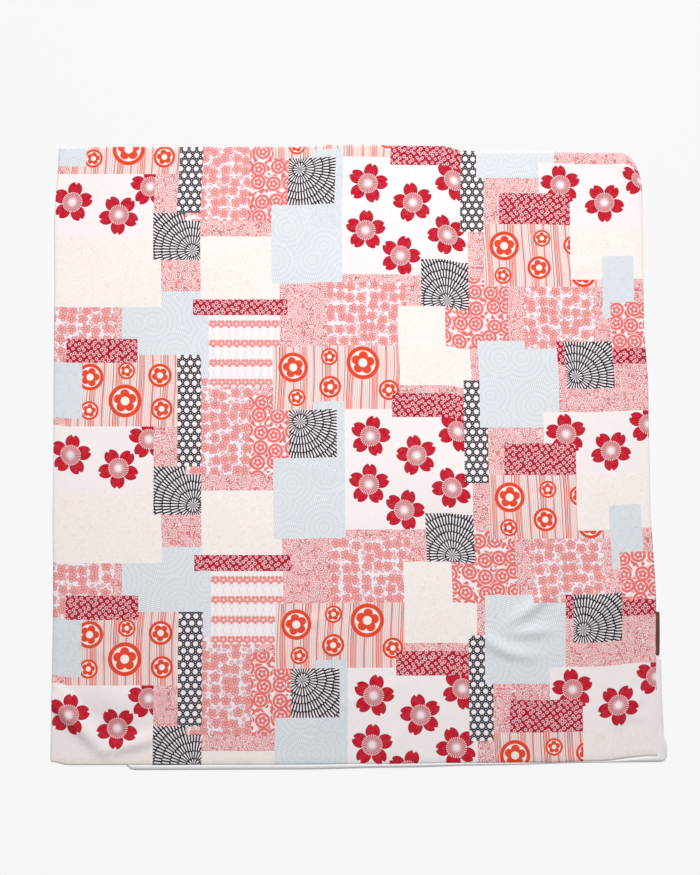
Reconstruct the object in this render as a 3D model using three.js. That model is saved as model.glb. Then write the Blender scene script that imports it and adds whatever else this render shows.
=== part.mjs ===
// A two-layer wrapping cloth (furoshiki) laid flat: a printed face panel over a plain lining panel,
// with a small folded tape caught in the seam of the right edge.
// Millimetres, +Z up. The cloth lies on z = 0, and the origin is at the middle of its overall rectangle.
// +X is the cloth's right side, and +Y its top side.

import * as THREE from 'three';

// Overall rectangle around both panels, and the sheets
const WIDTH = 695;
const LENGTH = 712.7;
const CLOTH = { thickness: 1.0, gap: 0.3 };
const HIDDEN_MARGIN = 3.5;
const LINING_EDGE_RISE = 0.6;
const COLOURS = { face: 0xe6bcb8, lining: 0xdcdae0, tag: 0x46281e };

// How far the face's edge lies in from the overall rectangle, row by row along that edge.
// The right side is drawn in at the top, where the cloth rolls under a little.
const FACE_EDGES = {
  left: [
    { along: -345, inset: 4.5 },
    { along: -267, inset: 5.0 },
    { along: -190, inset: 5.0 },
    { along: -54, inset: 3.0 },
    { along: 164, inset: 1.5 },
    { along: 266, inset: 0 },
    { along: 354, inset: 3.9 },
  ],
  right: [
    { along: -341, inset: 10.1 },
    { along: -230, inset: 10.7 },
    { along: -180, inset: 9.9 },
    { along: -54, inset: 14.8 },
    { along: 74, inset: 15.2 },
    { along: 150, inset: 18.9 },
    { along: 354, inset: 19.1 },
  ],
  bottom: [
    { along: -343, inset: 8.9 },
    { along: -329, inset: 5.6 },
    { along: -120, inset: 5.9 },
    { along: 214, inset: 8.4 },
    { along: 275, inset: 10.0 },
    { along: 337, inset: 15.5 },
  ],
  top: [
    { along: -344, inset: 2.4 },
    { along: -65, inset: 2.4 },
    { along: -13, inset: 0 },
    { along: 108, inset: 1.2 },
    { along: 137, inset: 7.1 },
    { along: 217, inset: 7.1 },
    { along: 281, inset: 9.4 },
  ],
};

// Where the lining rolls out past the face: a strip along the bottom with a rounded left end, and
// another up the right side as far as the tag. Elsewhere it stays HIDDEN_MARGIN inside the face.
const LINING_BOTTOM = { from: -262, run: 16, rows: [
  { along: -243, inset: 0 },
  { along: -75, inset: 0.6 },
  { along: 48, inset: 2.8 },
  { along: 138, inset: 5.1 },
  { along: 275, inset: 8.3 },
  { along: 338, inset: 8.9 },
] };
const LINING_RIGHT = { upTo: -236, run: 8, rows: [
  { along: -338, inset: 0 },
  { along: -322, inset: 3.4 },
  { along: -278, inset: 4.7 },
  { along: -234, inset: 5.1 },
] };

// Corner roundings: reach of the curve along X and along Y
const FACE_CORNERS = {
  topLeft: { x: 4, y: 4 },
  topRight: { x: 24, y: 46 },
  bottomLeft: { x: 3, y: 3 },
  bottomRight: { x: 3, y: 3 },
};
const LINING_CORNERS = {
  topLeft: { x: 4, y: 4 },
  topRight: { x: 24, y: 46 },
  bottomLeft: { x: 4, y: 4 },
  bottomRight: { x: 8, y: 8 },
};

// Soft folds. Each is a ridge from start to end, bowed sideways by `bow` at its middle (positive to the
// left of its run), `reach` wide on each side, and fading to nothing at both ends.
const FOLDS = [
  { name: 'corner swell', start: [-330, -238], end: [-209, -327], bow: 0, height: 4.5, reach: 40 },
  { name: 'corner lip', start: [-356, -262], end: [-206, -348], bow: -36, height: 4.2, reach: 12 },
  { name: 'left crease', start: [-352, 0], end: [-300, -3], bow: 0, height: 2.0, reach: 9 },
  { name: 'lower right streak', start: [127, -191], end: [173, -243], bow: 3, height: 3.2, reach: 12 },
  { name: 'lower right upper ridge', start: [150, -196], end: [264, -134], bow: 7, height: 4.4, reach: 17 },
  { name: 'lower right lower ridge', start: [146, -226], end: [257, -187], bow: -6, height: 3.8, reach: 16 },
  { name: 'right panel fold', start: [276, -316], end: [324, -252], bow: 0, height: 2.6, reach: 15 },
  { name: 'top edge fold', start: [122, 380], end: [132, 275], bow: 0, height: 2.8, reach: 13 },
  { name: 'right edge fold', start: [278, 92], end: [352, 142], bow: 0, height: 3.0, reach: 20 },
  { name: 'rolled corner', start: [278, 351], end: [328, 268], bow: 18, height: 2.4, reach: 12 },
  { name: 'middle swell', start: [20, 40], end: [236, -126], bow: 0, height: 2.4, reach: 70 },
  { name: 'upper left swell', start: [-290, 130], end: [-120, 300], bow: 0, height: 2.0, reach: 75 },
];

// Grid lines across the cloth, closer together where the folds are. Each row runs on from the last.
const COLUMNS = { start: -WIDTH / 2, runs: [
  { to: -338, steps: 1 },
  { to: -212, steps: 11 },
  { to: 120, steps: 9 },
  { to: 268, steps: 10 },
  { to: 337, steps: 4 },
  { to: WIDTH / 2, steps: 1 },
] };
const ROWS = { start: -LENGTH / 2, runs: [
  { to: -346, steps: 1 },
  { to: -262, steps: 8 },
  { to: -248, steps: 1 },
  { to: -132, steps: 9 },
  { to: 276, steps: 10 },
  { to: 346, steps: 4 },
  { to: LENGTH / 2, steps: 1 },
] };

// The folded tape in the right seam: a tongue under the face's edge, and a thicker folded end outside it
const TAG = {
  top: -180,
  bottom: -229,
  shows: 4.4,
  tongueDepth: 3.2,
  tongueThickness: 1.0,
  foldThickness: 1.9,
  foldRadius: 0.9,
};

function smooth(t) {
  const c = THREE.MathUtils.clamp(t, 0, 1);
  return c * c * (3 - 2 * c);
}

// Inset at a place along an edge, eased from one row of its table to the next
function insetAt(rows, along) {
  const next = rows.findIndex((row) => row.along > along);
  if (next === 0) return rows[0].inset;
  if (next < 0) return rows[rows.length - 1].inset;
  const a = rows[next - 1];
  const b = rows[next];
  return a.inset + (b.inset - a.inset) * smooth((along - a.along) / (b.along - a.along));
}

const faceEdges = {
  left: (y) => -WIDTH / 2 + insetAt(FACE_EDGES.left, y),
  right: (y) => WIDTH / 2 - insetAt(FACE_EDGES.right, y),
  bottom: (x) => -LENGTH / 2 + insetAt(FACE_EDGES.bottom, x),
  top: (x) => LENGTH / 2 - insetAt(FACE_EDGES.top, x),
};

const liningEdges = {
  left: (y) => faceEdges.left(y) + HIDDEN_MARGIN,
  right: (y) => {
    const hidden = faceEdges.right(y) - HIDDEN_MARGIN;
    const shown = WIDTH / 2 - insetAt(LINING_RIGHT.rows, y);
    return THREE.MathUtils.lerp(hidden, shown, smooth((LINING_RIGHT.upTo - y) / LINING_RIGHT.run));
  },
  bottom: (x) => {
    const hidden = faceEdges.bottom(x) + HIDDEN_MARGIN;
    const shown = -LENGTH / 2 + insetAt(LINING_BOTTOM.rows, x);
    return THREE.MathUtils.lerp(hidden, shown, smooth((x - LINING_BOTTOM.from) / LINING_BOTTOM.run));
  },
  top: (x) => faceEdges.top(x) - HIDDEN_MARGIN,
};

// Draws the square corner of a panel in to a round one
function roundCorner(point, corner, edgeX, edgeY, signX, signY) {
  const a = 1 - (signX * (edgeX - point.x)) / corner.x;
  const b = 1 - (signY * (edgeY - point.y)) / corner.y;
  if (a <= 0 || b <= 0) return;
  const ca = Math.min(a, 1);
  const cb = Math.min(b, 1);
  point.x += signX * corner.x * (ca * Math.sqrt(1 - (cb * cb) / 2) - ca);
  point.y += signY * corner.y * (cb * Math.sqrt(1 - (ca * ca) / 2) - cb);
}

// Takes a place on the overall rectangle to its place on a panel with these edges and corners
function onPanel(column, row, edges, corners) {
  const left = edges.left(row);
  const right = edges.right(row);
  const bottom = edges.bottom(column);
  const top = edges.top(column);
  const point = new THREE.Vector2(
    left + (column / WIDTH + 0.5) * (right - left),
    bottom + (row / LENGTH + 0.5) * (top - bottom),
  );
  roundCorner(point, corners.topLeft, left, top, -1, 1);
  roundCorner(point, corners.topRight, right, top, 1, 1);
  roundCorner(point, corners.bottomLeft, left, bottom, -1, -1);
  roundCorner(point, corners.bottomRight, right, bottom, 1, -1);
  return point;
}

// Height of the folds above the flat cloth
function foldHeight(x, y) {
  return FOLDS.reduce((sum, fold) => {
    const runX = fold.end[0] - fold.start[0];
    const runY = fold.end[1] - fold.start[1];
    const length = Math.hypot(runX, runY);
    const dx = x - fold.start[0];
    const dy = y - fold.start[1];
    const along = (dx * runX + dy * runY) / (length * length);
    if (along <= 0 || along >= 1) return sum;
    const aside = (runX * dy - runY * dx) / length - 4 * fold.bow * along * (1 - along);
    const across = Math.abs(aside) / fold.reach;
    if (across >= 1) return sum;
    const fade = Math.sin(Math.PI * along) ** 2;
    return sum + fold.height * fade * Math.cos((Math.PI / 2) * across) ** 2;
  }, 0);
}

function gridLines({ start, runs }) {
  const lines = [start];
  for (const run of runs) {
    const from = lines[lines.length - 1];
    for (let k = 1; k <= run.steps; k += 1) lines.push(from + ((run.to - from) * k) / run.steps);
  }
  return lines;
}

const columns = gridLines(COLUMNS);
const rows = gridLines(ROWS);

// One panel: a sheet of cloth between its underside and its upper side, closed around its edge.
// Inside the edge both panels share their grid, so that they fold together and stay apart. On its own
// edge a panel carries on along the face's slope there, and rises with the part `edgeRise` of it.
function panelGeometry({ edges, corners, underside, edgeRise }) {
  const lastColumn = columns.length - 1;
  const lastRow = rows.length - 1;
  const shared = (i, j) => onPanel(columns[i], rows[j], faceEdges, FACE_CORNERS);

  function place(i, j) {
    const own = shared(i, j);
    const height = foldHeight(own.x, own.y);
    const inner = [THREE.MathUtils.clamp(i, 1, lastColumn - 1), THREE.MathUtils.clamp(j, 1, lastRow - 1)];
    if (inner[0] === i && inner[1] === j) return [own.x, own.y, height];
    const near = shared(...inner);
    const nearHeight = foldHeight(near.x, near.y);
    const edge = onPanel(columns[i], rows[j], edges, corners);
    const reach = edge.distanceTo(near) / own.distanceTo(near);
    const carriedOn = nearHeight + reach * (height - nearHeight);
    return [edge.x, edge.y, edgeRise * Math.max(0, carriedOn)];
  }

  const positions = [];
  for (const lift of [underside, underside + CLOTH.thickness]) {
    for (let j = 0; j <= lastRow; j += 1) {
      for (let i = 0; i <= lastColumn; i += 1) {
        const [x, y, height] = place(i, j);
        positions.push(x, y, height + lift);
      }
    }
  }

  const index = [];
  const layer = columns.length * rows.length;
  const at = (i, j, upper) => upper * layer + j * columns.length + i;
  for (let j = 0; j < lastRow; j += 1) {
    for (let i = 0; i < lastColumn; i += 1) {
      const corner = [at(i, j, 1), at(i + 1, j, 1), at(i + 1, j + 1, 1), at(i, j + 1, 1)];
      const under = corner.map((k) => k - layer);
      index.push(corner[0], corner[1], corner[2], corner[0], corner[2], corner[3]);
      index.push(under[0], under[2], under[1], under[0], under[3], under[2]);
    }
  }

  const rim = [];
  for (let i = 0; i < lastColumn; i += 1) rim.push(at(i, 0, 0));
  for (let j = 0; j < lastRow; j += 1) rim.push(at(lastColumn, j, 0));
  for (let i = lastColumn; i > 0; i -= 1) rim.push(at(i, lastRow, 0));
  for (let j = lastRow; j > 0; j -= 1) rim.push(at(0, j, 0));
  rim.forEach((a, k) => {
    const b = rim[(k + 1) % rim.length];
    index.push(a, b, b + layer, a, b + layer, a + layer);
  });

  const geometry = new THREE.BufferGeometry();
  geometry.setAttribute('position', new THREE.Float32BufferAttribute(positions, 3));
  geometry.setIndex(index);
  geometry.computeVertexNormals();
  return geometry;
}

// The tag's section across the seam, drawn with the face's edge at 0 and run along the edge
function tagGeometry() {
  const { shows, tongueDepth, tongueThickness, foldThickness, foldRadius } = TAG;
  const clear = CLOTH.gap;
  const outer = clear + shows;
  const section = new THREE.Shape();
  section.moveTo(-tongueDepth, 0);
  section.lineTo(outer - foldRadius, 0);
  section.absarc(outer - foldRadius, foldRadius, foldRadius, -Math.PI / 2, 0, false);
  section.lineTo(outer, foldThickness - foldRadius);
  section.absarc(outer - foldRadius, foldThickness - foldRadius, foldRadius, 0, Math.PI / 2, false);
  section.lineTo(clear, foldThickness);
  section.lineTo(clear, tongueThickness);
  section.lineTo(-tongueDepth, tongueThickness);
  section.closePath();
  return new THREE.ExtrudeGeometry(section, {
    depth: TAG.top - TAG.bottom,
    bevelEnabled: false,
    curveSegments: 4,
  });
}

function clothPiece(name, geometry, colour) {
  const material = new THREE.MeshStandardMaterial({ color: colour, roughness: 0.9, metalness: 0 });
  const mesh = new THREE.Mesh(geometry, material);
  mesh.name = name;
  return mesh;
}

const liningGeometry = panelGeometry({
  edges: liningEdges,
  corners: LINING_CORNERS,
  underside: 0,
  edgeRise: LINING_EDGE_RISE,
});
const lining = clothPiece('lining', liningGeometry, COLOURS.lining);

const faceGeometry = panelGeometry({
  edges: faceEdges,
  corners: FACE_CORNERS,
  underside: CLOTH.thickness + CLOTH.gap,
  edgeRise: 1,
});
const face = clothPiece('face', faceGeometry, COLOURS.face);

// The tag's run follows the slant of the face's edge beside it
const tag = clothPiece('side_tag', tagGeometry(), COLOURS.tag);
const tagStart = new THREE.Vector3(faceEdges.right(TAG.top), TAG.top, 0);
const tagEnd = new THREE.Vector3(faceEdges.right(TAG.bottom), TAG.bottom, 0);
const tagRun = tagEnd.clone().sub(tagStart).normalize();
const up = new THREE.Vector3(0, 0, 1);
const outward = new THREE.Vector3().crossVectors(up, tagRun);
tag.quaternion.setFromRotationMatrix(new THREE.Matrix4().makeBasis(outward, up, tagRun));
tag.position.copy(tagStart);

const furoshiki = new THREE.Group();
furoshiki.add(lining, face, tag);

export default furoshiki;
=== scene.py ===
# %% [markdown]
# A furoshiki is a square wrapping cloth. This one is two cotton panels sewn face to face and turned right
# side out: a printed face and a plain pale lining. It lies flat on a table, with a few soft folds.
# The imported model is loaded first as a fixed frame, in metres, with the cloth on z = 0, +X to its right side
# and +Y to its top side. Sizes below are written in millimetres, as on a maker's drawing, and are turned to
# metres where a mesh, a map or the camera is made.

import math
from collections import namedtuple

import bpy
import numpy as np
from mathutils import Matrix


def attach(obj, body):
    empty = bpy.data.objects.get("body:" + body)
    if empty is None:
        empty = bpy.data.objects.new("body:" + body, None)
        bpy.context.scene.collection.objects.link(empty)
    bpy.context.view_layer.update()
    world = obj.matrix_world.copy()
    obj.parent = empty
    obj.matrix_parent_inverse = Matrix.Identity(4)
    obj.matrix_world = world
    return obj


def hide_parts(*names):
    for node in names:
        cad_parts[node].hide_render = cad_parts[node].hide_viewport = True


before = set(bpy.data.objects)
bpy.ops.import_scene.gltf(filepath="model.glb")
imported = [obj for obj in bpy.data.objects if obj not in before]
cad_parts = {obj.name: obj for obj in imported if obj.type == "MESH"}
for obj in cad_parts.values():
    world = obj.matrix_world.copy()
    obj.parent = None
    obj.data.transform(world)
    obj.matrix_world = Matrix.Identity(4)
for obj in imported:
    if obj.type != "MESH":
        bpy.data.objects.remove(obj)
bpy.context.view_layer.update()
MM = 0.001

# %% [markdown]
# The shader patterns are sums and products of coordinates. Wiring Math nodes by hand makes them hard to
# read, so one small class wraps a socket and turns Python arithmetic into Math nodes. A second class holds
# one material and has a single method that makes any other node.

# %% Shader arithmetic
class Value:
    """A number that varies over the surface, kept as a node socket."""

    def __init__(self, surface, socket):
        self.surface = surface
        self.socket = socket

    def maths(self, operation, *others, clamp=False):
        settings = {"operation": operation, "use_clamp": clamp}
        return self.surface.value("ShaderNodeMath", settings, [self, *others])

    def __add__(self, other):
        return self.maths("ADD", other)

    def __sub__(self, other):
        return self.maths("SUBTRACT", other)

    def __rsub__(self, other):
        return self.surface.value("ShaderNodeMath", {"operation": "SUBTRACT"}, [other, self])

    def __mul__(self, other):
        return self.maths("MULTIPLY", other)

    def __truediv__(self, other):
        return self.maths("DIVIDE", other)

    def __rtruediv__(self, other):
        return self.surface.value("ShaderNodeMath", {"operation": "DIVIDE"}, [other, self])

    def __pow__(self, other):
        return self.maths("POWER", other)

    def __abs__(self):
        return self.maths("ABSOLUTE")

    __radd__ = __add__
    __rmul__ = __mul__

    def sin(self):
        return self.maths("SINE")

    def cos(self):
        return self.maths("COSINE")

    def root(self):
        return self.maths("SQRT")

    def floor(self):
        return self.maths("FLOOR")

    def fract(self):
        return self.maths("FRACT")

    def min(self, other):
        return self.maths("MINIMUM", other)

    def max(self, other):
        return self.maths("MAXIMUM", other)

    def held(self):
        """Held between 0 and 1."""
        return self.maths("ADD", 0, clamp=True)

    def above(self, edge, soft):
        """1 where the value is over the edge, 0 where it is under, eased over the width `soft`."""
        return ((self - edge) / soft + 0.5).held()

    def below(self, edge, soft):
        return ((edge - self) / soft + 0.5).held()


print("a wrapped socket takes + - * / ** and abs")

# %% [markdown]
# A material is a tree of nodes round one Principled shader. The class below starts such a tree and has one
# method for any node, and a few short ones for what the prints use again and again: the piece's own maps,
# a noise, a motif scattered on uneven points, and a mix of two colours.

# %% One material and its nodes
# The Mix node has sockets for each kind of data, so its colour sockets are picked by their numbers.
MIX_SHARE, MIX_A, MIX_B, MIX_RESULT = 0, 6, 7, 2


class Surface:
    """One material: its nodes, and the Principled shader that they feed."""

    def __init__(self, name):
        self.material = bpy.data.materials.new(name)
        self.material.use_nodes = True
        self.tree = self.material.node_tree
        self.shader = self.tree.nodes["Principled BSDF"]

    def node(self, kind, settings=None, inputs=None):
        """Makes a node: its settings first, then the values or links of its sockets."""
        made = self.tree.nodes.new(kind)
        for name, setting in (settings or {}).items():
            setattr(made, name, setting)
        given = enumerate(inputs) if isinstance(inputs, list) else (inputs or {}).items()
        for name, value in given:
            self.feed(made.inputs[name], value)
        return made

    def feed(self, socket, value):
        if isinstance(value, Value):
            self.tree.links.new(value.socket, socket)
        elif isinstance(value, bpy.types.NodeSocket):
            self.tree.links.new(value, socket)
        else:
            socket.default_value = value

    def value(self, kind, settings, inputs, output=0):
        return Value(self, self.node(kind, settings, inputs).outputs[output])

    def map(self, name):
        """The two coordinates of one of the piece's own UV maps."""
        place = self.node("ShaderNodeUVMap", {"uv_map": name}).outputs["UV"]
        parts = self.node("ShaderNodeSeparateXYZ", inputs=[place]).outputs
        return Value(self, parts["X"]), Value(self, parts["Y"])

    def point(self, x, y):
        return self.node("ShaderNodeCombineXYZ", inputs={"X": x, "Y": y}).outputs["Vector"]

    def noise(self, x, y, size, detail=2.0, distortion=0.0):
        settings = {"noise_dimensions": "2D"}
        inputs = {
            "Vector": self.point(x / size, y / size),
            "Scale": 1.0,
            "Detail": detail,
            "Distortion": distortion,
        }
        return self.value("ShaderNodeTexNoise", settings, inputs)

    def scattered(self, x, y, pitch, unevenness):
        """Places the same motif on uneven points. Gives its own x and y in pitches, and a random number."""
        px, py = x / pitch, y / pitch
        inputs = {"Vector": self.point(px, py), "Scale": 1.0, "Randomness": unevenness}
        cells = self.node("ShaderNodeTexVoronoi", {"voronoi_dimensions": "2D"}, inputs)
        centre = self.node("ShaderNodeSeparateXYZ", inputs=[cells.outputs["Position"]]).outputs
        shade = self.node("ShaderNodeSeparateColor", inputs=[cells.outputs["Color"]]).outputs
        return px - Value(self, centre["X"]), py - Value(self, centre["Y"]), Value(self, shade["Red"])

    def mix(self, share, a, b):
        """Colour a where share is 0, and colour b where it is 1."""
        settings = {"data_type": "RGBA", "clamp_factor": True}
        inputs = {MIX_SHARE: share, MIX_A: a, MIX_B: b}
        return self.node("ShaderNodeMix", settings, inputs).outputs[MIX_RESULT]


def polar(x, y):
    radius = (x * x + y * y).root()
    angle = y.maths("ARCTAN2", x)
    return radius, angle


def ink(red, green, blue):
    """A colour given in 0 to 255 as seen on a screen, as the linear numbers that a shader takes."""
    def linear(c):
        c = c / 255
        return c / 12.92 if c <= 0.04045 else ((c + 0.055) / 1.055) ** 2.4
    return (linear(red), linear(green), linear(blue), 1.0)


print("an ink of 255, 255, 255 is", ink(255, 255, 255))

# %% [markdown]
# The cloth was laid out by hand, so its edges wander a few millimetres and its right side is drawn in at
# the top, where the corner rolls under. The outline could be drawn as one long curve, but it is kept as how
# far each edge lies in from one overall rectangle, in the same tables as the solid's. A grid over the flat
# cloth can then be carried to that outline, so that the print follows the cloth.

# %% Outline of the laid cloth, in millimetres
WIDTH = 695.0
LENGTH = 712.7
Edge = namedtuple("Edge", "along inset")

FACE_LEFT = [Edge(-345, 4.5), Edge(-267, 5.0), Edge(-190, 5.0), Edge(-54, 3.0), Edge(164, 1.5),
             Edge(266, 0.0), Edge(354, 3.9)]
FACE_RIGHT = [Edge(-341, 10.1), Edge(-230, 10.7), Edge(-180, 9.9), Edge(-54, 14.8), Edge(74, 15.2),
              Edge(150, 18.9), Edge(354, 19.1)]
FACE_BOTTOM = [Edge(-343, 8.9), Edge(-329, 5.6), Edge(-120, 5.9), Edge(214, 8.4), Edge(275, 10.0),
               Edge(337, 15.5)]
FACE_TOP = [Edge(-344, 2.4), Edge(-65, 2.4), Edge(-13, 0.0), Edge(108, 1.2), Edge(137, 7.1),
            Edge(217, 7.1), Edge(281, 9.4)]
LINING_BOTTOM = [Edge(-243, 0.0), Edge(-75, 0.6), Edge(48, 2.8), Edge(138, 5.1), Edge(275, 8.3),
                 Edge(338, 8.9)]
LINING_RIGHT = [Edge(-338, 0.0), Edge(-322, 3.4), Edge(-278, 4.7), Edge(-234, 5.1)]
print("overall rectangle:", WIDTH, "by", LENGTH, "mm")

# %% [markdown]
# The tables become functions that give an edge's place anywhere along it. The lining is a little smaller
# than the face and so hidden, apart from the bottom and the lower right, where it is led out past the face.
# Corners are rounded by drawing nearby points in, which keeps the grid whole where cutting would not.

# %% From the flat rectangle to the laid outline
HIDDEN_MARGIN = 3.5
LINING_BOTTOM_FROM, LINING_BOTTOM_RUN = -272, 15
LINING_RIGHT_UP_TO, LINING_RIGHT_RUN = -231, 6
ROLLED_CORNER = (24, 46)


def smooth(t):
    c = np.clip(t, 0, 1)
    return c * c * (3 - 2 * c)


def inset_at(rows, along):
    """The inset at places along an edge, eased from one row of the table to the next."""
    places = np.array([row.along for row in rows], float)
    insets = np.array([row.inset for row in rows])
    k = np.clip(np.searchsorted(places, along) - 1, 0, len(rows) - 2)
    share = smooth((along - places[k]) / (places[k + 1] - places[k]))
    return insets[k] + (insets[k + 1] - insets[k]) * share


FACE_EDGES = {
    "left": lambda y: -WIDTH / 2 + inset_at(FACE_LEFT, y),
    "right": lambda y: WIDTH / 2 - inset_at(FACE_RIGHT, y),
    "bottom": lambda x: -LENGTH / 2 + inset_at(FACE_BOTTOM, x),
    "top": lambda x: LENGTH / 2 - inset_at(FACE_TOP, x),
}


def lining_right(y):
    hidden = FACE_EDGES["right"](y) - HIDDEN_MARGIN
    shown = WIDTH / 2 - inset_at(LINING_RIGHT, y)
    return hidden + (shown - hidden) * smooth((LINING_RIGHT_UP_TO - y) / LINING_RIGHT_RUN)


def lining_bottom(x):
    hidden = FACE_EDGES["bottom"](x) + HIDDEN_MARGIN
    shown = -LENGTH / 2 + inset_at(LINING_BOTTOM, x)
    return hidden + (shown - hidden) * smooth((x - LINING_BOTTOM_FROM) / LINING_BOTTOM_RUN)


LINING_EDGES = {
    "left": lambda y: FACE_EDGES["left"](y) + HIDDEN_MARGIN,
    "right": lining_right,
    "bottom": lining_bottom,
    "top": lambda x: FACE_EDGES["top"](x) - HIDDEN_MARGIN,
}


def round_corner(x, y, reach, edge_x, edge_y, sign_x, sign_y):
    """Draws points near a square corner in to a round one."""
    a = np.clip(1 - sign_x * (edge_x - x) / reach[0], 0, 1)
    b = np.clip(1 - sign_y * (edge_y - y) / reach[1], 0, 1)
    new_x = x + sign_x * reach[0] * a * (np.sqrt(1 - b * b / 2) - 1)
    new_y = y + sign_y * reach[1] * b * (np.sqrt(1 - a * a / 2) - 1)
    return new_x, new_y


def on_outline(column, row, edges, corners):
    """Takes places on the overall rectangle to their places on a panel."""
    left, right = edges["left"](row), edges["right"](row)
    bottom, top = edges["bottom"](column), edges["top"](column)
    x = left + (column / WIDTH + 0.5) * (right - left)
    y = bottom + (row / LENGTH + 0.5) * (top - bottom)
    for name, sign_x, sign_y in (("top_left", -1, 1), ("top_right", 1, 1),
                                 ("bottom_left", -1, -1), ("bottom_right", 1, -1)):
        edge_x = right if sign_x > 0 else left
        edge_y = top if sign_y > 0 else bottom
        x, y = round_corner(x, y, corners[name], edge_x, edge_y, sign_x, sign_y)
    return x, y


FACE_CORNERS = {"top_left": (4, 4), "top_right": ROLLED_CORNER, "bottom_left": (3, 3), "bottom_right": (3, 3)}
LINING_CORNERS = {"top_left": (4, 4), "top_right": ROLLED_CORNER, "bottom_left": (4, 4),
                  "bottom_right": (8, 8)}
print("face is", round(float(FACE_EDGES["right"](0.0) - FACE_EDGES["left"](0.0)), 1), "mm wide at its middle")

# %% [markdown]
# Cotton laid on a table keeps soft folds where it was handled. Each one here is a ridge with a start, an
# end, a sideways bow and a height, and it fades out at both ends. Its reach is given for the left and the
# right of its run, since a fold is often steep on one side and broad on the other. The large ones lie on the
# solid's folds, with their crests and flanks drawn finer than the solid's grid allows. The corner hem, the
# right swell and the small creases are added for the look alone, where the light picks them out. Sculpting
# or a cloth simulation would fold it too, but neither puts a crease just where one is wanted.

# %% Folds, in millimetres
Fold = namedtuple("Fold", "start end bow height left right")

MAIN_FOLDS = {
    "corner swell": Fold((-321, -250), (-224, -307), 0, 2.6, 40, 30),
    "corner lip": Fold((-374, -245), (-262, -357), -3, 4.5, 22, 7.5),
    "corner hem": Fold((-306, -340), (-199, -313), -3, 3.2, 16, 8),
    "left crease": Fold((-356, 3), (-292, 2), 0, 1.6, 9, 9),
    "upper ridge": Fold((152, -206), (242, -136), -4, 3.5, 12, 10),
    "middle ridge": Fold((157, -206), (234, -200), 0, 2.6, 10, 9),
    "lower curve": Fold((120, -177), (227, -227), -23, 3.2, 13, 9),
    "panel fold": Fold((281, -317), (327, -262), 0, 1.8, 12, 11),
    "top edge fold": Fold((122, 380), (132, 275), 0, 2.2, 13, 13),
    "right edge fold": Fold((278, 92), (352, 142), 0, 0.8, 20, 20),
    "rolled corner": Fold((278, 351), (328, 268), 18, 2.4, 12, 12),
    "right swell": Fold((232, -168), (351, -156), 0, 2.4, 36, 60),
    "middle swell": Fold((20, 40), (236, -126), 0, 2.4, 70, 70),
    "top left swell": Fold((-290, 130), (-120, 300), 0, 2.0, 75, 75),
}
SMALL_CREASES = {
    "corner swell crown": Fold((-330, -206), (-232, -268), 8, 0.9, 13, 13),
    "corner line": Fold((-356, -243), (-290, -311), -2, 1.7, 14, 6),
    "corner wrinkle low": Fold((-312, -264), (-290, -292), 0, 0.8, 6, 6),
    "corner wrinkle": Fold((-250, -268), (-258, -290), 0, 0.7, 6, 6),
    "left edge pinch": Fold((-346, -1), (-306, -4), 0, 0.9, 4.5, 4.5),
    "left edge low": Fold((-350, -150), (-286, -168), 3, 0.7, 8, 8),
    "lower middle run": Fold((-76, -214), (8, -166), 5, 1.1, 9, 9),
    "lower middle low": Fold((-40, -286), (66, -250), -6, 0.9, 12, 12),
    "lower middle wave": Fold((-60, -180), (-10, -232), 3, 0.8, 10, 10),
    "right panel pinch": Fold((286, -306), (316, -268), 2, 1.1, 6, 6),
    "right panel foot": Fold((296, -296), (330, -300), 1, 0.9, 7, 7),
    "blossom panel ridge": Fold((226, -196), (276, -126), 3, 1.4, 12, 9),
    "bottom edge wave": Fold((30, -360), (52, -300), 2, 1.0, 11, 11),
    "bottom edge wave left": Fold((-132, -362), (-116, -306), -2, 0.9, 12, 12),
    "top edge pinch": Fold((124, 372), (129, 312), 1, 1.1, 5, 5),
    "top middle wave": Fold((-20, 370), (4, 296), -3, 0.8, 14, 14),
    "lower middle pinch": Fold((-66, -200), (-8, -238), 3, 0.9, 8, 7),
    "upper middle pinch": Fold((-38, -116), (-12, -148), 0, 0.8, 7, 7),
    "centre run": Fold((-150, 20), (-20, -40), 8, 0.7, 22, 22),
    "upper right run": Fold((190, 180), (300, 226), 6, 0.7, 18, 18),
}


def ridge(fold, x, y):
    """The height of one fold: it rises and falls along its run, and falls to nothing at its reach."""
    run_x, run_y = fold.end[0] - fold.start[0], fold.end[1] - fold.start[1]
    length = math.hypot(run_x, run_y)
    dx, dy = x - fold.start[0], y - fold.start[1]
    along = np.clip((dx * run_x + dy * run_y) / length**2, 0, 1)
    aside = (run_x * dy - run_y * dx) / length - 4 * fold.bow * along * (1 - along)
    reach = np.where(aside > 0, fold.left, fold.right)
    across = np.clip(np.abs(aside) / reach, 0, 1)
    return fold.height * np.sin(np.pi * along) ** 2 * np.cos(np.pi / 2 * across) ** 2


def fold_height(x, y):
    """How far the folds lift the cloth."""
    return sum(ridge(fold, x, y) for fold in [*MAIN_FOLDS.values(), *SMALL_CREASES.values()])


print(len(MAIN_FOLDS), "main folds and", len(SMALL_CREASES), "small creases")

# %% [markdown]
# The face is printed to look like a patchwork of scraps, but it is one cloth. The print is charted here on a
# square module, as rectangles laid over each other, and repeats up the cloth. Each rectangle has its own
# pattern, so each gets its own material: the cloth's mesh has its edges on the module's lines, and every
# face takes the material of the rectangle that it lies in.

# %% Chart of the print
MODULE = 9.15
REPEAT = 32
ACROSS = 76
Patch = namedtuple("Patch", "kind left bottom width height")

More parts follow.
